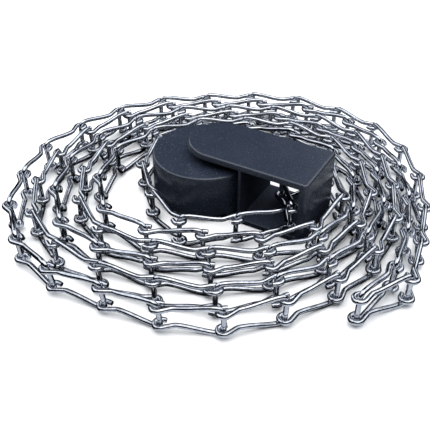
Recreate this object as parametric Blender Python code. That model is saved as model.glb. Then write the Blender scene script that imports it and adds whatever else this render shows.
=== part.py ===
"""Coil of steel wire ladder chain, laid on edge round a moulded yoke and its drum.

Every link is one bent wire: an upright rung, two arms, and an eye at the end of each arm
that hooks round the next link's rung. The endless chain is doubled: it folds at one outer
joint, both strands wind inwards side by side, and they meet inside the yoke. Metres, +Z up,
origin on the floor under the middle of the coil.
"""

import math

import bmesh
import bpy
import numpy as np
from mathutils import Matrix, Vector

# Place of the layout's own origin, which puts the whole coil's box over the frame's origin
COIL_SHIFT = (-0.0011, 0.0044)

# Chain wire and link
PITCH = 0.0394
LINK_WIDTH = 0.028
WIRE = 0.0027
EYE_RADIUS = 0.0049
EYE_SIDES = 6
EYE_UNDERSIDE = 0.0035
EYE_TOP = 0.0062
GOOSENECK = 0.009
ARM_RISE = 0.0015
ARM_MEETS_EYE = math.radians(135)
ARM_END_SPREAD = math.radians(38)

# Open hook where one run of links is hooked on the next
HOOK_INSIDE = 0.00225
HOOK_OUTSIDE = 0.0044
HOOK_UNDERSIDE = 0.0033
HOOK_START = math.radians(125)
HOOK_STEP = math.radians(58)
HOOK_BENDS = 5
LINKS_IN_A_RUN = 3

# Coil, as seen from above: values at twelve clock points, every 30 degrees from +X
FOLD_AZIMUTH = math.radians(305)
FOLD_POINT = (0.0858, -0.1262)
FOLD_BULGE = 0.0080
FOLD_BULGE_AT = math.radians(12)
FOLD_BULGE_WIDTH = math.radians(10)
DRUM_DENT = 0.0210
DRUM_DENT_AT = math.radians(962)
DRUM_DENT_WIDTH = math.radians(38)
OUTERMOST_RADIUS = (
    0.1502, 0.1530, 0.1410, 0.1290, 0.1330, 0.1390, 0.1465, 0.1490, 0.1340, 0.1360, 0.1310, 0.1525
)
SIXTH_RADIUS = (
    0.1015, 0.0985, 0.0885, 0.0770, 0.0765, 0.0765, 0.0745, 0.0684, 0.0576, 0.0480, 0.0630, 0.1020
)
RANKS_BETWEEN = 5
OUTER_LEAN = (0, 1, 3, 2, 4, 5, 4, 5, 8, 8, 0, 2)
LEAN_ENDS_AT = 4.0
LEAN_FADES_OVER = 2.1
TURNS = 3
OUTER_STRAND_STARTS = math.radians(12)
INNER_STRAND_STARTS = math.radians(16)
OUTER_STRAND_ENDS = math.radians(-14)
INNER_STRAND_ENDS = math.radians(280)
PATH_STEP = math.radians(0.5)

# Where the chain runs through the yoke, between the drum and the end wall
FRONT_JOINT = (0.0510, -0.0415)
REAR_JOINT = (0.0850, 0.0140)
NEXT_JOINT_LIFT = 0.0025

# Yoke and drum
YOKE_HEIGHT = 0.0506
YOKE_WIDTH = 0.0515
PLATE = 0.0048
END_WALL = 0.0060
GUIDE_WALL_STARTS = 0.0267
GUIDE_WALL = 0.0022
YOKE_NOSE = (0.0041, 0.0128)
YOKE_HEADING = math.radians(-30)
NOSE_TO_END = 0.0797
CORNER_ROUND = 0.0030
YOKE_EDGE_ROUND = 0.0009
DRUM_CENTRE = (-0.0092, 0.0160)
DRUM_RADIUS = 0.0394
DRUM_HEIGHT = 0.0340
DRUM_EDGE_ROUND = 0.0020
DRUM_SIDES = 56
PIN_RADIUS = 0.0050
PIN_SOCKET = 0.0015
ROUND_SIDES = 24
FIT_GAP = 0.0003


def clear_scene():
    for thing in list(bpy.data.objects):
        bpy.data.objects.remove(thing, do_unlink=True)


def make_material(name, colour, roughness, metallic):
    material = bpy.data.materials.new(name)
    material.use_nodes = True
    shader = material.node_tree.nodes["Principled BSDF"]
    shader.inputs["Base Color"].default_value = (*colour, 1.0)
    shader.inputs["Roughness"].default_value = roughness
    shader.inputs["Metallic"].default_value = metallic
    return material


def add_object(name, bm, material):
    mesh = bpy.data.meshes.new(name)
    bmesh.ops.recalc_face_normals(bm, faces=bm.faces)
    bm.to_mesh(mesh)
    bm.free()
    mesh.materials.append(material)
    thing = bpy.data.objects.new(name, mesh)
    bpy.context.scene.collection.objects.link(thing)
    return thing


def around(values, azimuth):
    """Smooth closed curve through values spaced evenly round the full circle."""
    values = np.asarray(values)
    place = np.asarray(azimuth) / math.tau * len(values)
    low = np.floor(place).astype(int)
    t = place - low
    a, b, c, d = (values[(low + shift) % len(values)] for shift in (-1, 0, 1, 2))
    return b + 0.5 * t * (c - a + t * (2 * a - 5 * b + 4 * c - d + t * (3 * (b - c) + d - a)))


def spiral(layer, travel):
    """Points of one strand: columns x, y and lean, for the angle travelled since the fold.

    The strand's rank in the coil grows by two each turn, because two strands wind together.
    Ranks are evenly spaced at each clock point, from the outermost pass to the one five ranks
    further in, and the outermost pass itself has a rank of nought only next to the fold.
    Both strands bulge outwards just after the fold, and the inner one dents in to the drum.
    """
    outermost = np.array(OUTERMOST_RADIUS)
    spacing = (outermost - SIXTH_RADIUS) / RANKS_BETWEEN
    clock = np.arange(len(outermost)) * math.tau / len(outermost)
    outermost_rank = (clock - FOLD_AZIMUTH) % math.tau / math.pi
    azimuth = FOLD_AZIMUTH + travel
    rank = layer + travel / math.pi
    radius = around(outermost + outermost_rank * spacing, azimuth) - rank * around(spacing, azimuth)
    radius += FOLD_BULGE * np.exp(-(((travel - FOLD_BULGE_AT) / FOLD_BULGE_WIDTH) ** 2))
    radius -= layer * DRUM_DENT * np.exp(-(((travel - DRUM_DENT_AT) / DRUM_DENT_WIDTH) ** 4))
    fade = np.clip((LEAN_ENDS_AT - rank) / LEAN_FADES_OVER, 0, 1)
    lean = np.radians(around(OUTER_LEAN, azimuth)) * fade
    return np.column_stack([radius * np.cos(azimuth), radius * np.sin(azimuth), lean])


def strand_path(layer, inner_end, start, end):
    """Dense points of a strand from its inner end out to the fold, and a little past it."""
    travel = np.arange(end, start, -PATH_STEP)
    winding = spiral(layer, travel)
    fold = np.array([*FOLD_POINT, winding[-1, 2]])
    past_fold = fold + (fold - winding[-1]) * [1, 1, 0]
    return np.vstack([inner_end, winding, fold, past_fold])


def walk(path, pitch, count):
    """Joints set out along a path at one chord length, and the distance walked by each.

    From each joint the next one is the first place on the path that is a chord away.
    """
    along = np.concatenate([[0], np.cumsum(np.linalg.norm(np.diff(path[:, :2], axis=0), axis=1))])
    joints = [path[0]]
    walked = [0.0]
    for _ in range(count):
        ahead = np.searchsorted(along, walked[-1], side="right")
        reach = np.linalg.norm(path[ahead:, :2] - joints[-1][:2], axis=1)
        beyond = np.flatnonzero(reach >= pitch)
        if len(beyond) == 0:
            return None, math.inf
        high = ahead + beyond[0]
        before = reach[beyond[0] - 1] if beyond[0] > 0 else 0.0
        share = (pitch - before) / (reach[beyond[0]] - before)
        low = high - 1
        joints.append(path[low] + share * (path[high] - path[low]))
        walked.append(along[low] + share * (along[high] - along[low]))
    return np.array(joints), walked[-1]


def set_out(path):
    """Joints from the inner end to the fold, with the play in the eyes shared out evenly."""
    lengths = np.linalg.norm(np.diff(path[:-1, :2], axis=0), axis=1)
    count = round(lengths.sum() / PITCH)
    short, long = 0.97 * PITCH, 1.03 * PITCH
    for _ in range(40):
        middle = (short + long) / 2
        if walk(path, middle, count)[1] < lengths.sum():
            short = middle
        else:
            long = middle
    return walk(path, short, count)[0]


def link_between(near, far):
    """The joint that is one pitch from two others, on the left of the way from near to far."""
    step = (far - near) / 2
    half = np.linalg.norm(step)
    return near + step + np.array([-step[1], step[0]]) / half * math.sqrt(PITCH**2 - half**2)


def chain_joints():
    """Every joint of the endless chain in link order: columns x, y, lean and lift."""
    front, rear = np.array(FRONT_JOINT), np.array(REAR_JOINT)
    turn = TURNS * math.tau - FOLD_AZIMUTH
    outer_end = turn + math.tau + OUTER_STRAND_ENDS
    inner_end = turn + INNER_STRAND_ENDS
    outer = set_out(strand_path(0, [*rear, 0.0], OUTER_STRAND_STARTS, outer_end))
    inner = set_out(strand_path(1, [*front, 0.0], INNER_STRAND_STARTS, inner_end))
    middle = [*link_between(front, rear), 0.0]
    joints = np.vstack([inner[::-1], middle, outer[:-1]])
    lift = np.zeros(len(joints))
    in_yoke = len(inner) - 1
    lift[in_yoke : in_yoke + 3] = PLATE + FIT_GAP
    lift[[in_yoke - 1, in_yoke + 3]] = NEXT_JOINT_LIFT
    return np.column_stack([joints, lift])


class Joint:
    """One joint: the leaning line of its rung, and the heading of the link that starts there."""

    def __init__(self, place, following):
        x, y, lean, lift = (float(value) for value in place)
        self.foot = Vector((x, y, lift))
        outward = Vector((x, y, 0)).normalized()
        self.rise = outward * math.sin(lean) + Vector((0, 0, math.cos(lean)))
        step = Vector((float(following[0]) - x, float(following[1]) - y, 0))
        self.heading = math.atan2(step.y, step.x)

    def point(self, height, radius=0.0, angle=0.0):
        """Point at a height up the rung, set off sideways by a radius at an angle."""
        return self.foot + self.rise * height + Vector(
            (radius * math.cos(angle), radius * math.sin(angle), 0)
        )


def loop(bm, joint, height, radius, angles):
    return [bm.verts.new(joint.point(height, radius, angle)) for angle in angles]


def square_loop(bm, joint, height):
    """Corners of the rung at one height: front left, back left, back right, front right."""
    turns = [joint.heading + math.radians(turn) for turn in (45, 135, 225, 315)]
    return loop(bm, joint, height, WIRE / math.sqrt(2), turns)


def eye_loop(bm, joint, height, heading):
    """Outer corners of a closed eye; the first two carry the end of the arriving arm."""
    first = heading + ARM_MEETS_EYE - ARM_END_SPREAD / 2
    side = (math.tau - ARM_END_SPREAD) / (EYE_SIDES - 1)
    turns = [first] + [first + ARM_END_SPREAD + side * step for step in range(EYE_SIDES - 1)]
    return loop(bm, joint, height, EYE_RADIUS, turns)


def band(bm, lower, upper, skip=()):
    """Wall between two loops of the same count, leaving out the sides listed in skip."""
    for side in range(len(lower)):
        if side not in skip:
            after = (side + 1) % len(lower)
            bm.faces.new((lower[side], lower[after], upper[after], upper[side]))


def by_angle(corners, middle):
    """Corners sorted by their angle round a middle, with the first one again a full turn on."""
    placed = [(math.atan2(v.co.y - middle.y, v.co.x - middle.x), v) for v in corners]
    placed.sort(key=lambda pair: pair[0])
    return placed + [(placed[0][0] + math.tau, placed[0][1])]


def stitch(bm, outer, inner):
    """Triangles between two loops round one rung, taking corners in order of their angle."""
    middle = sum((v.co for v in inner), Vector()) / len(inner)
    ring = by_angle(outer, middle)
    core = by_angle(inner, middle)
    i = j = 0
    while i < len(outer) or j < len(inner):
        if j == len(inner) or (i < len(outer) and ring[i + 1][0] < core[j + 1][0]):
            bm.faces.new((ring[i][1], ring[i + 1][1], core[j][1]))
            i += 1
        else:
            bm.faces.new((ring[i][1], core[j + 1][1], core[j][1]))
            j += 1


def level(height, top):
    """Height measured from the other edge of the chain where top is set."""
    return LINK_WIDTH - height if top else height


def add_post(bm, joint, arriving):
    """Rung of a link, with the closed eyes of the arriving link fused round it if any.

    Returns, for the lower and the upper edge, the rung's end loops and the eye's loops.
    """
    ends = {}
    inner_loops = {}
    for top in (False, True):
        tip = square_loop(bm, joint, level(0.0, top))
        base = square_loop(bm, joint, level(WIRE, top))
        bm.faces.new(tip)
        band(bm, tip, base, skip=(3,))
        ends[top] = [tip, base, None, None]
        inner_loops[top] = base
        if arriving is not None:
            under = eye_loop(bm, joint, level(EYE_UNDERSIDE, top), arriving)
            over = eye_loop(bm, joint, level(EYE_TOP, top), arriving)
            rung = square_loop(bm, joint, level(EYE_TOP, top))
            stitch(bm, under, base)
            band(bm, under, over, skip=(0,))
            stitch(bm, over, rung)
            ends[top][2:] = [under, over]
            inner_loops[top] = rung
    band(bm, inner_loops[False], inner_loops[True])
    return ends


def gooseneck_loop(bm, joint, heading, top):
    """Section of an arm where it starts to bend aside: left low, right low, right high, left high."""
    back = joint.point(0.0, GOOSENECK, heading + math.pi) - joint.foot
    corners = []
    for height in (ARM_RISE, ARM_RISE + WIRE):
        for side in (1, -1):
            turn = heading + side * math.pi / 2
            corners.append(bm.verts.new(back + joint.point(level(height, top), WIRE / 2, turn)))
    return [corners[0], corners[1], corners[3], corners[2]]


def hook_loops(bm, joint, heading, top):
    """Sections of the open hook, clockwise round the rung from where the arm reaches it."""
    widen = 1 / math.cos(HOOK_STEP / 2)
    loops = []
    for bend in range(HOOK_BENDS + 1):
        turn = heading + HOOK_START - HOOK_STEP * bend
        corners = []
        for height in (HOOK_UNDERSIDE, EYE_TOP):
            for radius in (HOOK_OUTSIDE * widen, HOOK_INSIDE * widen):
                corners.append(bm.verts.new(joint.point(level(height, top), radius, turn)))
        loops.append([corners[0], corners[1], corners[3], corners[2]])
    return loops


def add_arm(bm, start, joint, heading, top, eye):
    """One arm: from a rung's end loops to the gooseneck, then to a closed eye or a hook."""
    tip, base = start[:2]
    sections = [[tip[0], tip[3], base[3], base[0]], gooseneck_loop(bm, joint, heading, top)]
    if eye is not None:
        under, over = eye
        sections.append([under[0], under[1], over[1], over[0]])
    else:
        sections += hook_loops(bm, joint, heading, top)
        bm.faces.new(sections[-1])
    for near, far in zip(sections, sections[1:]):
        band(bm, near, far)


def chain_run(name, places, material):
    """Several links as one solid: fused where they hook on each other, hooked to the next run."""
    bm = bmesh.new()
    links = len(places) - 1
    posts = [add_post(bm, places[0], None)]
    for step in range(1, links):
        posts.append(add_post(bm, places[step], places[step - 1].heading))
    for step in range(links):
        joint, heading = places[step + 1], places[step].heading
        fused = step + 1 < links
        for top in (False, True):
            eye = posts[step + 1][top][2:] if fused else None
            add_arm(bm, posts[step][top], joint, heading, top, eye)
    return add_object(name, bm, material)


def build_chain(material):
    places = chain_joints()
    count = len(places)
    joints = [Joint(places[k], places[(k + 1) % count]) for k in range(count)]
    joints.append(joints[0])
    print("links in the chain:", count)
    for number, first in enumerate(range(0, count, LINKS_IN_A_RUN), start=1):
        places = joints[first : first + LINKS_IN_A_RUN + 1]
        chain_run(f"chain_run_{number:02d}", places, material)


def prism(outline, low, high):
    """Upright solid on a plan outline."""
    bm = bmesh.new()
    base = bm.faces.new([bm.verts.new((x, y, low)) for x, y in outline])
    grown = bmesh.ops.extrude_face_region(bm, geom=[base])
    top = [v for v in grown["geom"] if isinstance(v, bmesh.types.BMVert)]
    bmesh.ops.translate(bm, verts=top, vec=(0, 0, high - low))
    return bm


def arc(centre, radius, start, end, steps):
    """Points along an arc, both ends included."""
    turns = np.linspace(start, end, steps + 1)
    return [(centre[0] + radius * math.cos(t), centre[1] + radius * math.sin(t)) for t in turns]


def cutter(name, bm, target):
    tool = add_object(name, bm, target.data.materials[0])
    tool.hide_render = True
    tool.display_type = "WIRE"
    cut = target.modifiers.new(name, "BOOLEAN")
    cut.operation = "DIFFERENCE"
    cut.solver = "EXACT"
    cut.object = tool
    return tool


def build_yoke(material):
    """Two plates with a round nose, joined by an end wall and a guide wall next to the drum."""
    half = YOKE_WIDTH / 2
    corner = NOSE_TO_END - CORNER_ROUND
    outline = arc((0, 0), half, math.pi / 2, 3 * math.pi / 2, ROUND_SIDES)
    outline += arc((corner, -half + CORNER_ROUND), CORNER_ROUND, -math.pi / 2, 0, 3)
    outline += arc((corner, half - CORNER_ROUND), CORNER_ROUND, 0, math.pi / 2, 3)
    yoke = add_object("yoke", prism(outline, 0, YOKE_HEIGHT), material)
    placing = Matrix.Translation((*YOKE_NOSE, 0)) @ Matrix.Rotation(YOKE_HEADING, 4, "Z")
    yoke.matrix_world = placing
    past = YOKE_WIDTH
    fork = ("fork_cutter", -past, GUIDE_WALL_STARTS)
    channel = ("channel_cutter", GUIDE_WALL_STARTS + GUIDE_WALL, NOSE_TO_END - END_WALL)
    for name, near, far in (fork, channel):
        slot = [(near, -past), (far, -past), (far, past), (near, past)]
        cutter(name, prism(slot, PLATE, YOKE_HEIGHT - PLATE), yoke).matrix_world = placing
    socket = arc(DRUM_CENTRE, PIN_RADIUS + FIT_GAP, 0, math.tau, ROUND_SIDES)[:-1]
    cutter("socket_cutter", prism(socket, PLATE - PIN_SOCKET, YOKE_HEIGHT - PLATE + PIN_SOCKET), yoke)
    rounding = yoke.modifiers.new("edge_round", "BEVEL")
    rounding.width = YOKE_EDGE_ROUND
    rounding.segments = 2
    rounding.limit_method = "ANGLE"
    rounding.angle_limit = math.radians(60)
    return yoke


def turned(profile, sides):
    """Closed ring turned about Z from a closed profile of (radius, height) points."""
    bm = bmesh.new()
    rings = []
    for step in range(sides):
        turn = math.tau * step / sides
        rings.append([bm.verts.new((r * math.cos(turn), r * math.sin(turn), z)) for r, z in profile])
    for ring, following in zip(rings, rings[1:] + rings[:1]):
        band(bm, ring, following)
    return bm


def build_drum(material):
    """Plain turned drum with softened rims and a bore for its pin."""
    bore = PIN_RADIUS + FIT_GAP
    soft = DRUM_EDGE_ROUND
    low = arc((DRUM_RADIUS - soft, soft), soft, -math.pi / 2, 0, 3)
    high = arc((DRUM_RADIUS - soft, DRUM_HEIGHT - soft), soft, 0, math.pi / 2, 3)
    profile = [(bore, 0), *low, *high, (bore, DRUM_HEIGHT)]
    drum = add_object("drum", turned(profile, DRUM_SIDES), material)
    drum.location = (*DRUM_CENTRE, PLATE + FIT_GAP)
    drum.data.shade_smooth()
    drum.data.set_sharp_from_angle(angle=math.radians(40))
    return drum


def build_pin(material):
    """Plain pin that the drum turns on, held in the two plates' sockets."""
    low = PLATE - PIN_SOCKET + FIT_GAP
    high = YOKE_HEIGHT - PLATE + PIN_SOCKET - FIT_GAP
    outline = arc((0, 0), PIN_RADIUS - FIT_GAP / 2, 0, math.tau, ROUND_SIDES)[:-1]
    pin = add_object("axle_pin", prism(outline, low, high), material)
    pin.location = (*DRUM_CENTRE, 0)
    pin.data.shade_smooth()
    pin.data.set_sharp_from_angle(angle=math.radians(40))
    return pin


def centre_coil():
    """Carry every piece on one empty that moves the coil over the origin."""
    carrier = bpy.data.objects.new("coil_centre", None)
    bpy.context.scene.collection.objects.link(carrier)
    for thing in bpy.context.scene.objects:
        if thing is not carrier:
            thing.parent = carrier
    carrier.location = (*COIL_SHIFT, 0)


def main():
    clear_scene()
    steel = make_material("bright_steel_wire", (0.60, 0.61, 0.63), 0.22, 1.0)
    plastic = make_material("black_moulded_nylon", (0.016, 0.018, 0.024), 0.42, 0.0)
    build_chain(steel)
    build_yoke(plastic)
    build_drum(plastic)
    build_pin(steel)
    centre_coil()


main()
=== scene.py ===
# %% [markdown]
# # A coil of wire ladder chain
# The object is an endless chain of bent wire links. It is doubled, wound on edge round a black
# moulded yoke, and the yoke carries a black drum. The plain solids are already packed, so this
# lesson starts by loading them. Everything made later is fitted to them, in metres.

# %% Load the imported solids
import math

import bpy
import numpy as np
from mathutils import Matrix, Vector


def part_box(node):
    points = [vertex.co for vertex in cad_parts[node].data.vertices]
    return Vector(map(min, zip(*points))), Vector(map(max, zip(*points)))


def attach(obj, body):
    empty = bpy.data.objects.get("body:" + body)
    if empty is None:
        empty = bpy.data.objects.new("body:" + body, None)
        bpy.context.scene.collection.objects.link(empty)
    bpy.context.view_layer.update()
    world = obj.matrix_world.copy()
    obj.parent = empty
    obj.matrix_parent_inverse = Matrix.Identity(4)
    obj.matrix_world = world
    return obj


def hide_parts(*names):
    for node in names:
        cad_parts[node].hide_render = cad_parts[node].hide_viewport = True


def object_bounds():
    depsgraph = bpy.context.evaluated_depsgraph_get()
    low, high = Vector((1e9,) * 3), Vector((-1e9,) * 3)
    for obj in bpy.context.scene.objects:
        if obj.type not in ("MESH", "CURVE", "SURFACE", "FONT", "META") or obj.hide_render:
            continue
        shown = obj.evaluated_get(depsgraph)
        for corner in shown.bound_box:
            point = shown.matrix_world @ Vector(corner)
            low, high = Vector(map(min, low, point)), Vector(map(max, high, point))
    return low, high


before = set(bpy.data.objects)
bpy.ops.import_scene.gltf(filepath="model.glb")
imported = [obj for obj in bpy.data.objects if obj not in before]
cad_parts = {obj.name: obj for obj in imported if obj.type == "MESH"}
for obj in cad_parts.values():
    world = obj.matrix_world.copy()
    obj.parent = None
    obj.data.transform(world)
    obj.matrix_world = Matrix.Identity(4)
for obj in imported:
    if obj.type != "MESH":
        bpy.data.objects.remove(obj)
solids_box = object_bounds()

# %% [markdown]
# # Helpers for meshes
# Each shape here is worked out as whole arrays of points, so one helper is enough to turn points
# and faces into an object. It also shades the surface smooth, because round wire and moulded
# plastic have no flats. Edges that are really sharp are kept crisp by their angle.


# %% Points and faces to an object
def add_piece(name, points, faces, material, sharp_degrees=40):
    """One object at the origin, with its place in its mesh, smooth but for edges over an angle."""
    mesh = bpy.data.meshes.new(name)
    mesh.from_pydata(np.asarray(points).reshape(-1, 3), [], faces)
    mesh.materials.append(material)
    mesh.shade_smooth()
    mesh.set_sharp_from_angle(angle=math.radians(sharp_degrees))
    piece = bpy.data.objects.new(name, mesh)
    bpy.context.scene.collection.objects.link(piece)
    return piece


def grid_faces(rows, columns):
    """Quads between neighbouring rows of points, where each row closes on itself."""
    row, column = np.meshgrid(np.arange(rows - 1), np.arange(columns), indexing="ij")
    after = (column + 1) % columns
    low, high = row * columns, (row + 1) * columns
    return np.stack([low + column, low + after, high + after, high + column], -1).reshape(-1, 4)


# %% [markdown]
# # Helpers for materials
# Colours are written as the hex values that a colour picker shows. The shader works in linear
# light, so one function converts them. A second function adds one node with its settings and its
# links, which keeps each material down to a few readable lines.


# %% Colours and nodes
def linear(hex_colour):
    """sRGB hex to linear: divide by 12.92 near black, else a power of 2.4."""
    value = np.array([int(hex_colour[i : i + 2], 16) for i in (1, 3, 5)]) / 255
    bent = np.where(value <= 0.04045, value / 12.92, ((value + 0.055) / 1.055) ** 2.4)
    return (*bent, 1.0)


def add_node(tree, kind, settings=None, **inputs):
    """One node: its settings, then for each input a value, or a socket to link from."""
    node = tree.nodes.new(kind)
    for key, value in (settings or {}).items():
        setattr(node, key, value)
    for key, value in inputs.items():
        socket = node.inputs[key.replace("_", " ")]
        if isinstance(value, bpy.types.NodeSocket):
            tree.links.new(value, socket)
        else:
            socket.default_value = value
    return node


def new_material(name):
    """An empty Principled material, and its node tree and shader."""
    material = bpy.data.materials.new(name)
    material.use_nodes = True
    return material, material.node_tree, material.node_tree.nodes["Principled BSDF"]


def mm(size):
    """Noise scale for a grain of a size in millimetres."""
    return 1000 / size


# %% [markdown]
# # Bright drawn stainless wire
# Stainless wire is pulled through a die, which leaves faint lines along it, and finished links
# are tumbled, which polishes them and leaves small scuffs. To the eye that is a mirror that
# stretches reflections a little along the wire. The lines have to follow the wire round its
# bends. So each point of a link carries an attribute with its place on the straight wire before
# it was bent, and the noise reads that. The real lines are 0.05 mm apart, too fine to show, so
# they are drawn 0.25 mm apart. The scuffs are real size, about 2.5 mm.

# %% Wire material
DRAWING_LINES_MM = 0.25
LINES_STRETCH = 0.06
SCUFFS_MM = 2.5


def stainless_wire():
    """Metal whose tint and roughness wander with the scuffs, under faint lines along the wire."""
    material, tree, shader = new_material("stainless_wire_bright_drawn")
    straight = add_node(tree, "ShaderNodeAttribute", {"attribute_name": "straight_wire"})
    stretch = add_node(
        tree, "ShaderNodeMapping", Vector=straight.outputs["Vector"], Scale=(1, 1, LINES_STRETCH)
    )
    lines = add_node(
        tree, "ShaderNodeTexNoise", Vector=stretch.outputs["Vector"],
        Scale=mm(DRAWING_LINES_MM), Detail=3.0,
    )
    scuffs = add_node(
        tree, "ShaderNodeTexNoise", Vector=straight.outputs["Vector"],
        Scale=mm(SCUFFS_MM), Detail=5.0,
    )
    rough = add_node(
        tree, "ShaderNodeMapRange", Value=scuffs.outputs["Fac"],
        From_Min=0.35, From_Max=0.7, To_Min=0.07, To_Max=0.15,
    )
    tint = add_node(tree, "ShaderNodeValToRGB", Fac=scuffs.outputs["Fac"])
    for stop, place, shade in zip(tint.color_ramp.elements, (0.3, 0.7), ("#B4B8C0", "#D9DCE2")):
        stop.position, stop.color = place, linear(shade)
    relief = add_node(
        tree, "ShaderNodeBump", Height=lines.outputs["Fac"], Strength=0.05, Distance=0.0001
    )
    tree.links.new(tint.outputs["Color"], shader.inputs["Base Color"])
    tree.links.new(rough.outputs["Result"], shader.inputs["Roughness"])
    tree.links.new(relief.outputs["Normal"], shader.inputs["Normal"])
    shader.inputs["Metallic"].default_value = 1.0
    return material


wire_steel = stainless_wire()
print("material:", wire_steel.name)

# %% [markdown]
# # Turned steel pin
# The drum turns on a plain pin, which is bar stock cut in a lathe. The tool leaves fine rings, so
# its shine breaks up round the pin instead of along it. The real rings are 0.1 mm apart, and
# they are drawn 0.3 mm apart so that they show. The solid's own shape is right, and it only
# needs this finish.

# %% Pin material
TURNING_RINGS_MM = 0.3
RINGS_SQUASH = 0.1


def turned_steel():
    """Even metal under rings: a noise squashed sideways, so that it changes only with height."""
    material, tree, shader = new_material("steel_bar_turned")
    place = add_node(tree, "ShaderNodeTexCoord")
    squash = add_node(
        tree, "ShaderNodeMapping", Vector=place.outputs["Object"],
        Scale=(RINGS_SQUASH, RINGS_SQUASH, 1),
    )
    rings = add_node(
        tree, "ShaderNodeTexNoise", Vector=squash.outputs["Vector"],
        Scale=mm(TURNING_RINGS_MM), Detail=2.0,
    )
    relief = add_node(
        tree, "ShaderNodeBump", Height=rings.outputs["Fac"], Strength=0.25, Distance=0.0001
    )
    tree.links.new(relief.outputs["Normal"], shader.inputs["Normal"])
    shader.inputs["Base Color"].default_value = linear("#B3B4B6")
    shader.inputs["Metallic"].default_value = 1.0
    shader.inputs["Roughness"].default_value = 0.32
    return material


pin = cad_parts["axle_pin"]
pin.material_slots[0].material = turned_steel()
print("finished node:", pin.name)

# %% [markdown]
# # Black moulded nylon
# The yoke and the drum are injection moulded in black nylon. The mould was spark eroded, which
# leaves a fine even grain, and that grain turns a sharp reflection into a soft blue-grey sheen.
# The grain is about 0.3 mm, drawn here at 0.45 mm so that it still shows. A second, much larger
# noise varies the sheen, as handling does, and a few pale specks of dust lie on it. Inside the
# yoke the faces take a duller, far less shiny copy, as painted shade that keeps them dark.

# %% Nylon material
MOULD_GRAIN_MM = 0.45
DUST_SPECKS_MM = 1.1
HANDLING_MM = 22
NYLON_IOR = 1.53


def moulded_nylon(name, smoothest, roughest, shine):
    """Nylon whose roughness wanders between two values, with a specular level.

    The grain shades the colour and gives the relief. Where the dust's noise is at its highest,
    the colour turns to the dust's.
    """
    material, tree, shader = new_material(name)
    place = add_node(tree, "ShaderNodeTexCoord")
    grain = add_node(
        tree, "ShaderNodeTexNoise", Vector=place.outputs["Object"],
        Scale=mm(MOULD_GRAIN_MM), Detail=4.0, Roughness=0.6,
    )
    handling = add_node(
        tree, "ShaderNodeTexNoise", Vector=place.outputs["Object"],
        Scale=mm(HANDLING_MM), Detail=3.0,
    )
    dust = add_node(
        tree, "ShaderNodeTexNoise", Vector=place.outputs["Object"],
        Scale=mm(DUST_SPECKS_MM), Detail=2.0,
    )
    speckle = add_node(tree, "ShaderNodeValToRGB", Fac=grain.outputs["Fac"])
    for stop, at, shade in zip(speckle.color_ramp.elements, (0.35, 0.72), ("#1D222B", "#2E3544")):
        stop.position, stop.color = at, linear(shade)
    specks = add_node(
        tree, "ShaderNodeMapRange", Value=dust.outputs["Fac"], From_Min=0.62, From_Max=0.72
    )
    colour = add_node(
        tree, "ShaderNodeMixRGB", Fac=specks.outputs["Result"],
        Color1=speckle.outputs["Color"], Color2=linear("#454D5C"),
    )
    rough = add_node(
        tree, "ShaderNodeMapRange", Value=handling.outputs["Fac"],
        From_Min=0.3, From_Max=0.7, To_Min=smoothest, To_Max=roughest,
    )
    relief = add_node(
        tree, "ShaderNodeBump", Height=grain.outputs["Fac"], Strength=0.22, Distance=0.0002
    )
    tree.links.new(colour.outputs["Color"], shader.inputs["Base Color"])
    tree.links.new(rough.outputs["Result"], shader.inputs["Roughness"])
    tree.links.new(relief.outputs["Normal"], shader.inputs["Normal"])
    shader.inputs["IOR"].default_value = NYLON_IOR
    shader.inputs["Specular IOR Level"].default_value = shine
    return material


nylon = moulded_nylon("nylon_black_moulded_satin", smoothest=0.20, roughest=0.30, shine=0.72)
# Painted shade: a duller copy with little shine, for the faces inside the yoke, keeps them dark.
shaded_inner_nylon = moulded_nylon("nylon_black_moulded_painted_shade", smoothest=0.50, roughest=0.62, shine=0.15)
print("materials:", nylon.name, shaded_inner_nylon.name)

# %% [markdown]
# # Where the chain lies
# The coil is two strands wound together from a fold at the outside. Seen from above, the radius
# at any clock point is the outermost pass there, less the local spacing for each rank that the
# strand lies further in. The rank grows by one each half turn. The same measures made the solids,
# so the links drawn here lie in the solids' places. Packing centred the whole object, and the
# drum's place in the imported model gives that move.

# %% Measures of the coil
FOLD_AZIMUTH = math.radians(305)
FOLD_POINT = (0.0858, -0.1262)
FOLD_BULGE = 0.0080
FOLD_BULGE_AT = math.radians(12)
FOLD_BULGE_WIDTH = math.radians(10)
DRUM_DENT = 0.0210
DRUM_DENT_AT = math.radians(962)
DRUM_DENT_WIDTH = math.radians(38)
OUTERMOST_RADIUS = (
    0.1502, 0.1530, 0.1410, 0.1290, 0.1330, 0.1390, 0.1465, 0.1490, 0.1340, 0.1360, 0.1310, 0.1525
)
SIXTH_RADIUS = (
    0.1015, 0.0985, 0.0885, 0.0770, 0.0765, 0.0765, 0.0745, 0.0684, 0.0576, 0.0480, 0.0630, 0.1020
)
RANKS_BETWEEN = 5
OUTER_LEAN = (0, 1, 3, 2, 4, 5, 4, 5, 8, 8, 0, 2)
LEAN_ENDS_AT = 4.0
LEAN_FADES_OVER = 2.1
OUTER_STRAND_STARTS = math.radians(12)
INNER_STRAND_STARTS = math.radians(16)
OUTER_STRAND_ENDS = 4 * math.tau - math.radians(14)
INNER_STRAND_ENDS = 3 * math.tau + math.radians(280)
FRONT_JOINT = (0.0510, -0.0415)
REAR_JOINT = (0.0850, 0.0140)
PITCH = 0.0394
PLATE = 0.0048
FIT_GAP = 0.0003
HALF_STEP_UP = 0.0025
DRUM_CENTRE = (-0.0092, 0.0160)
TRAVEL_STEP = math.radians(0.5)

drum_box = np.array(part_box("drum"))
coil_shift = drum_box.mean(0)[:2] - DRUM_CENTRE
print("coil moved by", coil_shift.round(5))


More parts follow.
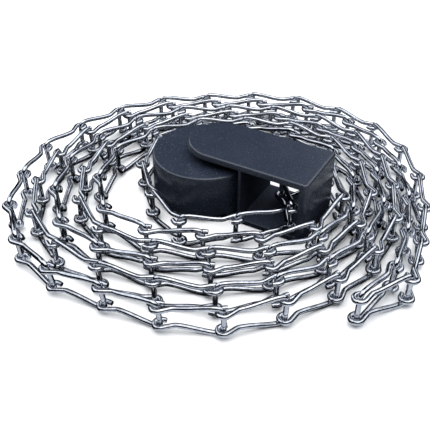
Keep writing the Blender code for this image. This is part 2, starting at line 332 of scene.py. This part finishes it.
# %% The spiral
def around(values, azimuth):
    """Smooth closed curve through evenly spaced values.

    In each span it is the cubic whose slope at either end is half the difference between the
    values before and after that end.
    """
    values = np.asarray(values)
    place = np.asarray(azimuth) / math.tau * len(values)
    low = np.floor(place).astype(int)
    t = place - low
    a, b, c, d = (values[(low + shift) % len(values)] for shift in (-1, 0, 1, 2))
    return b + 0.5 * t * (c - a + t * (2 * a - 5 * b + 4 * c - d + t * (3 * (b - c) + d - a)))


def strand(layer, inner_end, start, end):
    """Dense points x, y and lean from a strand's inner end out to the fold and just past it.

    Radius is the outermost pass plus its rank times the spacing, less this strand's rank times
    the spacing. Rank is the layer plus one for each half turn travelled since the fold. A bell
    shaped bulge of the travel is added near the fold, and the inner strand dents in to the drum.
    """
    travel = np.arange(end, start, -TRAVEL_STEP)
    azimuth = FOLD_AZIMUTH + travel
    hours = len(OUTERMOST_RADIUS)
    clock = np.arange(hours) * math.tau / hours
    spacing = np.subtract(OUTERMOST_RADIUS, SIXTH_RADIUS) / RANKS_BETWEEN
    datum = OUTERMOST_RADIUS + (clock - FOLD_AZIMUTH) % math.tau / math.pi * spacing
    rank = layer + travel / math.pi
    radius = around(datum, azimuth) - rank * around(spacing, azimuth)
    radius += FOLD_BULGE * np.exp(-(((travel - FOLD_BULGE_AT) / FOLD_BULGE_WIDTH) ** 2))
    radius -= layer * DRUM_DENT * np.exp(-(((travel - DRUM_DENT_AT) / DRUM_DENT_WIDTH) ** 4))
    fade = np.clip((LEAN_ENDS_AT - rank) / LEAN_FADES_OVER, 0, 1)
    lean = np.radians(around(OUTER_LEAN, azimuth)) * fade
    winding = np.column_stack([radius * np.cos(azimuth), radius * np.sin(azimuth), lean])
    fold = np.array([*FOLD_POINT, winding[-1, 2]])
    return np.vstack([[*inner_end, 0], winding, fold, fold + (fold - winding[-1]) * [1, 1, 0]])


# %% [markdown]
# # Joints along the strands
# Every link is the same length, so the joints are steps of one chord along the strand, as with a
# pair of dividers. The chord is closed in on by halving until a whole number of links ends at the
# fold. Inside the yoke one more joint links the two strands, one pitch from each. The joints in
# the yoke stand on its lower plate, and those next to them half way up to it.

# %% Step out the joints
PITCH_PLAY = 0.03
HALVINGS = 40


def walk(path, pitch, count):
    """Joints one chord apart: each is the first point on the path that is a chord from the last."""
    along = np.r_[0, np.cumsum(np.linalg.norm(np.diff(path[:, :2], axis=0), axis=1))]
    joints, walked = [path[0]], [0.0]
    for _ in range(count):
        ahead = np.searchsorted(along, walked[-1], side="right")
        reach = np.linalg.norm(path[ahead:, :2] - joints[-1][:2], axis=1)
        beyond = np.flatnonzero(reach >= pitch)
        if len(beyond) == 0:
            return None, math.inf
        high = ahead + beyond[0]
        before = reach[beyond[0] - 1] if beyond[0] > 0 else 0.0
        share = (pitch - before) / (reach[beyond[0]] - before)
        joints.append(path[high - 1] + share * (path[high] - path[high - 1]))
        walked.append(along[high - 1] + share * (along[high] - along[high - 1]))
    return np.array(joints), walked[-1]


def set_out(path):
    """Joints from the inner end to the fold, at the chord that brings the last one onto it."""
    length = np.linalg.norm(np.diff(path[:-1, :2], axis=0), axis=1).sum()
    count = round(length / PITCH)
    short, long = (1 - PITCH_PLAY) * PITCH, (1 + PITCH_PLAY) * PITCH
    for _ in range(HALVINGS):
        middle = (short + long) / 2
        if walk(path, middle, count)[1] < length:
            short = middle
        else:
            long = middle
    return walk(path, short, count)[0]


def chain_joints():
    """Every joint in link order, columns x, y, lean and lift off the floor."""
    front, rear = np.array(FRONT_JOINT), np.array(REAR_JOINT)
    outer = set_out(strand(0, rear, OUTER_STRAND_STARTS, OUTER_STRAND_ENDS - FOLD_AZIMUTH))
    inner = set_out(strand(1, front, INNER_STRAND_STARTS, INNER_STRAND_ENDS - FOLD_AZIMUTH))
    step = (rear - front) / 2
    half = np.linalg.norm(step)
    middle = front + step + np.array([-step[1], step[0]]) / half * math.sqrt(PITCH**2 - half**2)
    joints = np.vstack([inner[::-1], [*middle, 0], outer[:-1]])
    lift = np.zeros(len(joints))
    lift[len(inner) - 1 : len(inner) + 2] = PLATE + FIT_GAP
    lift[[len(inner) - 2, len(inner) + 2]] = HALF_STEP_UP
    return np.column_stack([joints, lift])


joints = chain_joints()
print("links:", len(joints))

# %% [markdown]
# # One bent link
# A real link is a single piece of 3 mm wire, bent in a machine: a rung, a bend at each end of it,
# two arms, and at each arm's end a small sideways neck and a hook that curls round the next rung.
# It is drawn a little thicker, at 3.56 mm, so that the coil hides as much of the floor as the
# real one does. Half of it is drawn here, from the middle of the rung to the cut tip. Each station
# is a distance from the near joint, a share of the way to the far joint, a distance to the left,
# and a height. Because the share is kept apart, the same stations fit links of slightly different
# length.

# %% Measures of the wire
WIRE_RADIUS = 0.00178
LINK_WIDTH = 0.028
ARM_HEIGHT = 0.00185
RUNG_BEND = 0.0044
HOOK_HEIGHT = 0.0053
HOOK_RADIUS = 0.0038
NECK_SLOPE = math.radians(25)
NECK_BEND = 0.0055
HOOK_ENDS = math.radians(-96)
TIP_LENGTH = 0.0030
RUNG_HEIGHTS = (LINK_WIDTH / 2, 0.0095, 0.0068)
ARM_SHARES = (0.12, 0.3, 0.5, 0.7, 0.88)
TIP_SHARES = (0.4, 1.0)
WIRE_SIDES = 12
print("wire", round(2000 * WIRE_RADIUS, 2), "mm, link", LINK_WIDTH * 1000, "mm wide")


# %% Half a link, from the middle of the rung to the tip
def half_link():
    """Columns offset, share, left, height and whether the station is bent flat, like a hook.

    The rung is a straight rise and its end a quarter circle. The arm's height eases from the
    bend's to the hook's, as 3 times the share squared less 2 times its cube. The neck is an arc up
    to the slope, then a straight run at a tangent to the hook's circle. The tip is a straight run
    at a tangent to the hook's end.
    """
    stations = [(0, 0, 0, height, 0) for height in RUNG_HEIGHTS]
    for turn in np.radians(np.linspace(0, 90, 7)):
        away = RUNG_BEND * (1 - math.cos(turn))
        stations.append((away, 0, 0, ARM_HEIGHT + RUNG_BEND * (1 - math.sin(turn)), 0))
    neck_starts = HOOK_RADIUS / math.sin(NECK_SLOPE) + NECK_BEND * math.tan(NECK_SLOPE / 2)
    for share in ARM_SHARES:
        rise = share * share * (3 - 2 * share)
        offset = RUNG_BEND * (1 - share) - neck_starts * share
        height = ARM_HEIGHT + (HOOK_HEIGHT - ARM_HEIGHT) * rise
        stations.append((offset, share, 0, height, share > 0.5))
    for turn in np.linspace(0, NECK_SLOPE, 4):
        left = NECK_BEND * (1 - math.cos(turn))
        stations.append((NECK_BEND * math.sin(turn) - neck_starts, 1, left, HOOK_HEIGHT, 1))
    for turn in np.linspace(math.pi / 2 + NECK_SLOPE, HOOK_ENDS, 15):
        x, y = HOOK_RADIUS * math.cos(turn), HOOK_RADIUS * math.sin(turn)
        stations.append((x, 1, y, HOOK_HEIGHT, 1))
    for share in TIP_SHARES:
        reach = share * TIP_LENGTH
        tip = (x + reach * math.sin(turn), 1, y - reach * math.cos(turn), HOOK_HEIGHT, 1)
        stations.append(tip)
    return np.array(stations)


def whole_link():
    """The lower half read backwards, then the upper half, which is its mirror image in height."""
    lower = half_link()
    upper = lower * [1, 1, 1, -1, 1] + [0, 0, 0, LINK_WIDTH, 0]
    return np.vstack([lower[:0:-1], upper]), len(lower) - 1


link_stations, middle_station = whole_link()
print("stations along one link:", len(link_stations))

# %% [markdown]
# # Every link at once
# The near and far joints of all links are arrays, so one formula places every station of every
# link: the point that far between the two leaning rungs, plus the distance to the left, plus what
# reaches past the far joint. No two links in a real coil sit quite alike, so each rung also leans
# up to four degrees more or less, from a seeded random number.

# %% Place the stations
SETTLING_LEAN = math.radians(2.8)
MOST_SETTLING = 0.07
SETTLING_SEED = 7
chance = np.random.default_rng(SETTLING_SEED)


def joint_frames(joints):
    """Foot and leaning rise of every joint: up, tilted outwards by its lean and a random lean."""
    foot = np.column_stack([joints[:, :2], joints[:, 3]])
    outward = joints[:, :2] / np.linalg.norm(joints[:, :2], axis=1)[:, None]
    settling = chance.normal(0, SETTLING_LEAN, len(joints)).clip(-MOST_SETTLING, MOST_SETTLING)
    lean = joints[:, 2] + settling
    rise = np.column_stack([outward * np.sin(lean)[:, None], np.cos(lean)])
    foot[:, :2] += coil_shift
    return foot, rise


def place_links(joints, stations):
    """Centreline points [link, station, xyz], and each link's unit left vector.

    A point starts on the line between the feet of the two joints, at the share that its reach
    makes of the link's length. The two rises, mixed by that share, are added times its height.
    What its reach goes past either joint is added along the heading, and its distance aside to
    the left.
    """
    foot, rise = joint_frames(joints)
    far_foot, far_rise = np.roll(foot, -1, 0), np.roll(rise, -1, 0)
    step = (far_foot - foot)[:, :2]
    length = np.linalg.norm(step, axis=1)
    heading = np.column_stack([step / length[:, None], np.zeros(len(foot))])
    left = np.column_stack([-heading[:, 1], heading[:, 0], np.zeros(len(foot))])
    offset, share, aside, height = stations[:, :4].T
    reach = offset + share * length[:, None]
    between = np.clip(reach / length[:, None], 0, 1)[..., None]
    points = foot[:, None] * (1 - between) + far_foot[:, None] * between
    points += (rise[:, None] * (1 - between) + far_rise[:, None] * between) * height[:, None]
    points += heading[:, None] * (reach[..., None] - between * length[:, None, None])
    return points + left[:, None] * aside[:, None], left


centres, lefts = place_links(joints, link_stations)
lowest = float(centres[..., 2].min() * 1000)
print("centreline points:", centres.shape[:2], "lowest", round(lowest, 2), "mm")

# %% [markdown]
# # Round wire on the centrelines
# A tube needs two directions across the wire at every station. On the rung and the arms one of
# them is the link's own left, and on the necks and hooks one of them is straight up, so no frame
# has to be carried along the wire and nothing twists. A circle in those two directions gives the
# skin. The last ring at each tip is drawn in by 0.2 mm, because cropping squeezes the wire's end.
# The same points are kept for the straight wire too. Each link starts 110 mm further along it, so
# that the scuffs differ from link to link.

# %% Skin of the wire
TIP_DRAWN_IN = 0.0002
SHIFT_PER_LINK = 0.11


def unit(vectors):
    """Each vector over its own length."""
    return vectors / np.linalg.norm(vectors, axis=-1, keepdims=True)


def wire_skin(centres, lefts, stations, middle):
    """Skin points [link, station, side, xyz], and the same points on the straight wire.

    A point is the centre plus the radius times the first direction by the cosine of its turn and
    the second by the sine. Both directions are square to the way along the wire.
    """
    along = unit(np.gradient(centres, axis=1))
    up = np.zeros_like(centres)
    up[:, :middle, 2] = -1
    up[:, middle:, 2] = 1
    across_left = unit(lefts[:, None] - (lefts[:, None] * along).sum(-1, keepdims=True) * along)
    across_up = unit(up - (up * along).sum(-1, keepdims=True) * along)
    flat = stations[:, 4][:, None] > 0
    first = np.where(flat, np.cross(across_up, along), across_left)
    second = np.where(flat, across_up, np.cross(along, across_left))
    turn = np.arange(WIRE_SIDES) * math.tau / WIRE_SIDES
    circle = np.cos(turn)[:, None] * first[..., None, :]
    circle += np.sin(turn)[:, None] * second[..., None, :]
    radius = np.full(len(stations), WIRE_RADIUS)
    radius[[0, -1]] -= TIP_DRAWN_IN
    skin = centres[..., None, :] + circle * radius[:, None, None]
    steps = np.diff(centres, axis=1, prepend=centres[:, :1])
    travelled = np.cumsum(np.linalg.norm(steps, axis=-1), axis=1)
    straight = np.empty_like(skin)
    straight[..., 0] = np.cos(turn) * WIRE_RADIUS
    straight[..., 1] = np.sin(turn) * WIRE_RADIUS
    starts = SHIFT_PER_LINK * np.arange(len(centres))
    straight[..., 2] = travelled[..., None] + starts[:, None, None]
    return skin, straight


skins, straights = wire_skin(centres, lefts, link_stations, middle_station)
print("skin points:", skins.shape[0] * skins.shape[1] * skins.shape[2])

# %% [markdown]
# # Runs of links
# The solids hold the chain as runs of three links, so the drawn links are grouped the same way
# and each run stands for one solid. Inside a run every link is its own closed piece of wire,
# hooked round the next rung with the play that a real chain has.

# %% Make the runs
LINKS_IN_A_RUN = 3


def link_run(number, first):
    """One object for a few links: tube walls between the rings, and a flat disc on each tip."""
    skin = skins[first : first + LINKS_IN_A_RUN]
    count, rings, sides = skin.shape[:3]
    wall = grid_faces(rings, sides)
    starts = np.arange(count) * rings * sides
    walls = (wall[None] + starts[:, None, None]).reshape(-1, 4)
    disc = np.arange(sides)
    last_ring = (rings - 1) * sides
    tips = [disc[::-1] + start for start in starts] + [disc + start + last_ring for start in starts]
    faces = [*walls.tolist(), *[tip.tolist() for tip in tips]]
    run = add_piece(f"links_{number:02d}", skin, faces, wire_steel, sharp_degrees=60)
    straight = run.data.attributes.new("straight_wire", "FLOAT_VECTOR", "POINT")
    straight.data.foreach_set("vector", straights[first : first + LINKS_IN_A_RUN].ravel())
    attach(run, "coil")
    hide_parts(f"chain_run_{number:02d}")
    return run


first_links = range(0, len(joints), LINKS_IN_A_RUN)
runs = [link_run(number, first) for number, first in enumerate(first_links, start=1)]
triangles = sum(len(face.vertices) - 2 for face in runs[0].data.polygons)
print("runs:", len(runs), "triangles in one:", triangles)

# %% [markdown]
# # Drum
# The drum is a plain roller, moulded with a bore. Turning a profile round its axis gives it: the
# profile is a list of radii and heights with quarter circles at the rims, and the surface takes
# each of them round in a circle. The rims are rounder than the solid's, because their thin bright
# line is what shows where the top ends. A narrow ring of the flat just inside each rim keeps the
# rim's smooth shading off the rest of the flat.

# %% Make the drum
DRUM_RIM = 0.0016
RING_INSIDE_RIM = 0.0005
PIN_BORE = 0.0053
BORE_CHAMFER = 0.0004
DRUM_SIDES = 160


def quarter(centre, radius, start, steps=7):
    """Quarter circle from a start angle, as radius and height pairs."""
    turn = start + np.linspace(0, math.pi / 2, steps)
    return np.column_stack([centre[0] + radius * np.cos(turn), centre[1] + radius * np.sin(turn)])


def drum_surface():
    """Points at (radius cos turn, radius sin turn, height) for each profile point and each turn."""
    low, high = drum_box
    outer = (high[0] - low[0]) / 2
    bottom, top = low[2], high[2]
    soft = outer - DRUM_RIM
    profile = np.vstack([
        [PIN_BORE, bottom + BORE_CHAMFER],
        [PIN_BORE + BORE_CHAMFER, bottom],
        [soft - RING_INSIDE_RIM, bottom],
        quarter((soft, bottom + DRUM_RIM), DRUM_RIM, -math.pi / 2),
        quarter((soft, top - DRUM_RIM), DRUM_RIM, 0),
        [soft - RING_INSIDE_RIM, top],
        [PIN_BORE + BORE_CHAMFER, top],
        [PIN_BORE, top - BORE_CHAMFER],
        [PIN_BORE, bottom + BORE_CHAMFER],
    ])
    turn = np.arange(DRUM_SIDES) * math.tau / DRUM_SIDES
    x = drum_box.mean(0)[0] + profile[:, :1] * np.cos(turn)
    y = drum_box.mean(0)[1] + profile[:, :1] * np.sin(turn)
    return np.stack([x, y, np.broadcast_to(profile[:, 1:], x.shape)], -1)


drum_points = drum_surface()
rows = len(drum_points) - 1
drum_faces = grid_faces(rows + 1, DRUM_SIDES) % (rows * DRUM_SIDES)
drum = add_piece("moulded_drum", drum_points[:-1], drum_faces.tolist(), nylon)
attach(drum, "drum_body")
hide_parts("drum")
print("drum faces:", len(drum.data.polygons))

# %% [markdown]
# # Yoke
# The yoke is one moulding: two plates with a round nose, joined by an end wall and by a thin
# guide wall next to the drum. It could be built face by face, but the real one reads as a rounded
# slab with two slots through it. So a slab is made from rings of its outline, drawn in and rounded
# at the top and the bottom, and the slots are cut out with Booleans. The cut faces take the
# cutter's duller nylon, painted shade that keeps the inside of the yoke dark. A Bevel then softens
# the new edges. All of it is applied, so the finished piece is one plain mesh.

# %% Outline of the yoke
YOKE_NOSE = (0.0041, 0.0128)
YOKE_HEADING = math.radians(-30)
YOKE_WIDTH = 0.0515
NOSE_TO_END = 0.0797
END_WALL = 0.0060
GUIDE_WALL_STARTS = 0.0267
GUIDE_WALL = 0.0022
CORNER_ROUND = 0.0030
EDGE_ROUND = 0.0019
BAND_INSIDE_EDGE = 0.0008


def yoke_outline():
    """Plan points and outward normals: a half circle nose, then two rounded corners."""
    half = YOKE_WIDTH / 2
    nose = np.linspace(math.pi / 2, 3 * math.pi / 2, 73)
    corner = np.linspace(0, math.pi / 2, 9)
    flat = NOSE_TO_END - CORNER_ROUND
    turns = [nose, corner - math.pi / 2, corner]
    centres = [(0, 0), (flat, CORNER_ROUND - half), (flat, half - CORNER_ROUND)]
    radii = [half, CORNER_ROUND, CORNER_ROUND]
    normals = [np.column_stack([np.cos(t), np.sin(t)]) for t in turns]
    points = [np.array(c) + r * n for c, r, n in zip(centres, radii, normals)]
    return np.vstack(points), np.vstack(normals)


def rounded_slab(outline, normals, low, high, soft):
    """Rings of the outline, from the bottom face up to the top face.

    Round an edge, a ring at an angle is drawn in by the radius times one less the cosine, and
    lies off the face by the radius times one less the sine. One more ring lies in each face,
    just inside its edge, to keep the rounding's smooth shading off the flat.
    """
    turn = np.linspace(math.pi / 2, 0, 7)
    drawn_in, off_face = soft * (1 - np.cos(turn)), soft * (1 - np.sin(turn))
    flat = soft + BAND_INSIDE_EDGE
    inset = np.r_[flat, drawn_in, drawn_in[::-1], flat]
    height = np.r_[low, low + off_face, high - off_face[::-1], high]
    plan = outline[None] - inset[:, None, None] * normals[None]
    return np.concatenate([plan, np.broadcast_to(height[:, None, None], (*plan.shape[:2], 1))], -1)


def to_place(points):
    """Turn by the yoke's heading about the nose, then move the nose to its place."""
    c, s = math.cos(YOKE_HEADING), math.sin(YOKE_HEADING)
    x = YOKE_NOSE[0] + coil_shift[0] + c * points[..., 0] - s * points[..., 1]
    y = YOKE_NOSE[1] + coil_shift[1] + s * points[..., 0] + c * points[..., 1]
    return np.stack([x, y, points[..., 2]], -1)


slab = rounded_slab(*yoke_outline(), 0.0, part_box("yoke")[1].z, EDGE_ROUND)
print("rings in the slab:", len(slab))

# %% Cut and finish the yoke
CUT_REACH = 0.06
CUT_EDGE_ROUND = 0.0006
SLOTS = (
    (-CUT_REACH, GUIDE_WALL_STARTS),
    (GUIDE_WALL_STARTS + GUIDE_WALL, NOSE_TO_END - END_WALL),
)
yoke_top = float(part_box("yoke")[1].z)


def closed_rings(rings):
    """Walls between the rings, and one face across the first ring and across the last."""
    count = rings.shape[1]
    across = np.arange(count)
    last = across + (len(rings) - 1) * count
    return [*grid_faces(len(rings), count).tolist(), across[::-1].tolist(), last.tolist()]


def apply_modifiers(piece):
    """Put the finished shape into the piece's own mesh and drop its modifiers."""
    depsgraph = bpy.context.evaluated_depsgraph_get()
    finished = bpy.data.meshes.new_from_object(piece.evaluated_get(depsgraph))
    piece.modifiers.clear()
    piece.data = finished


def slot_block(near, far):
    """Two rings of four corners: the space between the plates, from near to far along the yoke."""
    plan = np.array([(near, -CUT_REACH), (far, -CUT_REACH), (far, CUT_REACH), (near, CUT_REACH)])
    heights = (PLATE, yoke_top - PLATE)
    return np.stack([np.column_stack([plan, np.full(4, height)]) for height in heights])


yoke = add_piece("moulded_yoke", to_place(slab), closed_rings(slab), nylon)
# The slot cutters carry the painted-shade copy of the nylon, so the cut faces inside the yoke read
# dark.
cutters = []
for near, far in SLOTS:
    slot = slot_block(near, far)
    cutters.append(add_piece("slot_cutter", to_place(slot), closed_rings(slot), shaded_inner_nylon))
    cut = yoke.modifiers.new("slot", "BOOLEAN")
    cut.object = cutters[-1]
    cut.solver = "EXACT"
    cut.material_mode = "TRANSFER"
soften = yoke.modifiers.new("soften", "BEVEL")
soften.width = CUT_EDGE_ROUND
soften.segments = 3
soften.angle_limit = math.radians(50)
soften.harden_normals = True
apply_modifiers(yoke)
for cutter in cutters:
    bpy.data.objects.remove(cutter)
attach(yoke, "coil")
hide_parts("yoke")
print("yoke faces:", len(yoke.data.polygons))

# %% [markdown]
# # Floor and backdrop
# The coil lies on a plain white sweep. A white floor would show in every wire and wash its dark
# lines out, so it is left out of reflections and of bounced light. A black velvet card lies just
# under it, which only reflections and bounced light can see: painted shade, the dark that the wires
# and the nylon would see on the shaded floor under the coil. It gets no light there, so it stays
# black. A pale lit ring stands far round the floor, so that a low view has white behind the coil.

# %% Floor
FLOOR_REACH = 3.0
CARD_SHARE = 0.94
CARD_HEIGHT = -0.0002
RING_SIDES = 64
FIBRES_MM = 1.5
NAP_MM = 1.0
# The lit backdrop's glow dips in patches this size: painted shade, as in paper creases.
FOLD_SHADE_MM = 900


def white_sweep():
    """Matt white paper with a faint relief of fibres."""
    material, tree, shader = new_material("paper_white_matt")
    place = add_node(tree, "ShaderNodeTexCoord")
    fibres = add_node(
        tree, "ShaderNodeTexNoise", Vector=place.outputs["Object"], Scale=mm(FIBRES_MM), Detail=3.0
    )
    relief = add_node(
        tree, "ShaderNodeBump", Height=fibres.outputs["Fac"], Strength=0.05, Distance=0.0002
    )
    tree.links.new(relief.outputs["Normal"], shader.inputs["Normal"])
    shader.inputs["Base Color"].default_value = linear("#F4F5F6")
    shader.inputs["Roughness"].default_value = 0.9
    shader.inputs["Specular IOR Level"].default_value = 0.1
    return material


def painted_shade_velvet():
    """Black velvet with a relief of its nap, laid under the coil as painted shade."""
    material, tree, shader = new_material("card_black_painted_shade")
    place = add_node(tree, "ShaderNodeTexCoord")
    nap = add_node(
        tree, "ShaderNodeTexNoise", Vector=place.outputs["Object"], Scale=mm(NAP_MM), Detail=2.0
    )
    relief = add_node(
        tree, "ShaderNodeBump", Height=nap.outputs["Fac"], Strength=0.2, Distance=0.0003
    )
    tree.links.new(relief.outputs["Normal"], shader.inputs["Normal"])
    shader.inputs["Base Color"].default_value = linear("#1C1D20")
    shader.inputs["Roughness"].default_value = 0.95
    shader.inputs["Specular IOR Level"].default_value = 0.0
    return material


def lit_backdrop():
    """Paper that shines by itself, with painted shade: its glow a little darker in broad patches.
    """
    material, tree, shader = new_material("paper_white_lit")
    place = add_node(tree, "ShaderNodeTexCoord")
    fold_shade = add_node(
        tree, "ShaderNodeTexNoise", Vector=place.outputs["Object"], Scale=mm(FOLD_SHADE_MM), Detail=1.0
    )
    tone = add_node(tree, "ShaderNodeValToRGB", Fac=fold_shade.outputs["Fac"])
    for stop, shade in zip(tone.color_ramp.elements, ("#E9EAEC", "#F4F5F6")):
        stop.color = linear(shade)
    tree.links.new(tone.outputs["Color"], shader.inputs["Emission Color"])
    shader.inputs["Emission Strength"].default_value = 1.0
    shader.inputs["Base Color"].default_value = linear("#000000")
    return material


corners = [(-FLOOR_REACH, -FLOOR_REACH, 0), (FLOOR_REACH, -FLOOR_REACH, 0)]
corners += [(FLOOR_REACH, FLOOR_REACH, 0), (-FLOOR_REACH, FLOOR_REACH, 0)]
floor = add_piece("floor", corners, [(0, 1, 2, 3)], white_sweep())
floor.visible_glossy = False
floor.visible_diffuse = False

turn = np.arange(RING_SIDES) * math.tau / RING_SIDES
circle = np.column_stack([np.cos(turn), np.sin(turn)])
half_size = (np.array(solids_box[1]) - np.array(solids_box[0]))[:2] / 2 * CARD_SHARE
card_edge = np.column_stack([circle * half_size, np.full(RING_SIDES, CARD_HEIGHT)])
# Painted shade: a black card under the coil that only reflections and bounced light see.
card = add_piece("painted_shade_card", card_edge, [list(range(RING_SIDES))], painted_shade_velvet())
card.visible_camera = False
card.visible_shadow = False

rings = [
    np.column_stack([circle * FLOOR_REACH, np.full(RING_SIDES, height)])
    for height in (0.0, 2 * FLOOR_REACH)
]
wall_faces = grid_faces(2, RING_SIDES).tolist()
backdrop = add_piece("backdrop", np.stack(rings), wall_faces, lit_backdrop())
backdrop.visible_glossy = False
backdrop.visible_diffuse = False
backdrop.visible_shadow = False
print("stage:", floor.name, card.name, backdrop.name)

# %% [markdown]
# # Sky and lamp
# Bright wire shows its surroundings more than itself, so its look is made by what it can reflect.
# A soft cap of sky overhead gives the white stripe along the top of the wires, and lobes at the
# sides and behind do the same for the wires that run other ways. A low lobe in front stands for
# the lit table, which the rungs and the lower halves of the wires show. The dim room between the
# lobes, and the black card, give the dark lines. A wide softbox lights the floor and the nylon.
# It is left out of reflections, because its square would show in the wires.

# %% Sky
ROOM_GREY = "#0E0F12"
SKY_STRENGTH = 2.1
SKY_LOBES = (
    ((0.16, -0.50, -0.85), "#A0A4AA", 48, 66),  # lit table in front
    ((0.16, -0.12, 0.98), "#FFFFFF", 28, 36),  # overhead
    ((0.62, 0.22, 0.75), "#DEE1E7", 22, 30),  # right
    ((-0.62, 0.02, 0.78), "#D6D9E0", 22, 30),  # left
    ((0.45, 0.80, 0.42), "#A6AAB2", 12, 20),  # behind, to the right
    ((-0.55, 0.66, 0.50), "#CCD0D6", 13, 21),  # behind, to the left
)


def soft_sky(lobes, dim, strength):
    """A dim room plus soft round lobes, each bright around its own direction.

    A lobe is a direction, a grey, and the two angles from that direction in degrees between
    which it fades out. The share of its grey at a point of the sky is a smooth step of the cosine
    of the angle to that direction.
    """
    world = bpy.data.worlds.new("studio")
    world.use_nodes = True
    tree = world.node_tree
    place = add_node(tree, "ShaderNodeTexCoord")
    colour = linear(dim)
    for towards, grey, full, gone in lobes:
        facing = add_node(tree, "ShaderNodeVectorMath", {"operation": "DOT_PRODUCT"})
        tree.links.new(place.outputs["Generated"], facing.inputs[0])
        facing.inputs[1].default_value = np.array(towards) / np.linalg.norm(towards)
        share = add_node(
            tree, "ShaderNodeMapRange", {"interpolation_type": "SMOOTHSTEP"},
            Value=facing.outputs["Value"],
            From_Min=math.cos(math.radians(gone)), From_Max=math.cos(math.radians(full)),
        )
        mixed = add_node(
            tree, "ShaderNodeMixRGB", Fac=share.outputs["Result"],
            Color1=colour, Color2=linear(grey),
        )
        colour = mixed.outputs["Color"]
    tree.links.new(colour, tree.nodes["Background"].inputs["Color"])
    tree.nodes["Background"].inputs["Strength"].default_value = strength
    return world


bpy.context.scene.world = soft_sky(SKY_LOBES, ROOM_GREY, SKY_STRENGTH)
bpy.context.scene.view_settings.view_transform = "Standard"
print("lobes in the sky:", len(SKY_LOBES))


# %% Lamp
def softbox(name, place, width, height, power):
    """Area light at a place, turned so that its face looks at the middle of the coil."""
    lamp = bpy.data.lights.new(name, "AREA")
    lamp.shape = "RECTANGLE"
    lamp.size, lamp.size_y = width, height
    lamp.energy = power
    holder = bpy.data.objects.new(name, lamp)
    holder.location = place
    holder.rotation_euler = Vector(place).to_track_quat("Z", "Y").to_euler()
    bpy.context.scene.collection.objects.link(holder)
    return holder


key = softbox("key_softbox", place=(-0.05, 0.0, 1.2), width=2.0, height=2.0, power=27)
key.visible_glossy = False

# %% [markdown]
# # Camera
# The camera stands 0.32 m above the floor and looks down at 37 degrees. Its place and its lens
# were fitted to the photo. The focal length is known in the photo's pixels, and the sensor's
# width over the photo's width turns it into millimetres.

# %% Camera
PHOTO_SIDE = 430
FOCAL_IN_PIXELS = 711
SENSOR_WIDTH = 36
NEAREST_SEEN = 0.01
LOOK_DOWN = math.radians(37.15)
EYE = (-0.0016, -0.4388, 0.3224)
lens = bpy.data.cameras.new("camera")
lens.sensor_width = SENSOR_WIDTH
lens.lens = SENSOR_WIDTH * FOCAL_IN_PIXELS / PHOTO_SIDE
lens.clip_start = NEAREST_SEEN
camera = bpy.data.objects.new("camera", lens)
camera.location = (EYE[0] + coil_shift[0], EYE[1] + coil_shift[1], EYE[2])
camera.rotation_euler = (math.pi / 2 - LOOK_DOWN, 0, 0)
bpy.context.scene.collection.objects.link(camera)
bpy.context.scene.camera = camera
print("lens", round(lens.lens, 1), "mm")

# %% [markdown]
# Size of the solids
# Last, the size of the solids' box is printed.

# %% Sizes and finish
print("solids", [tuple(round(v, 4) for v in c) for c in solids_box])
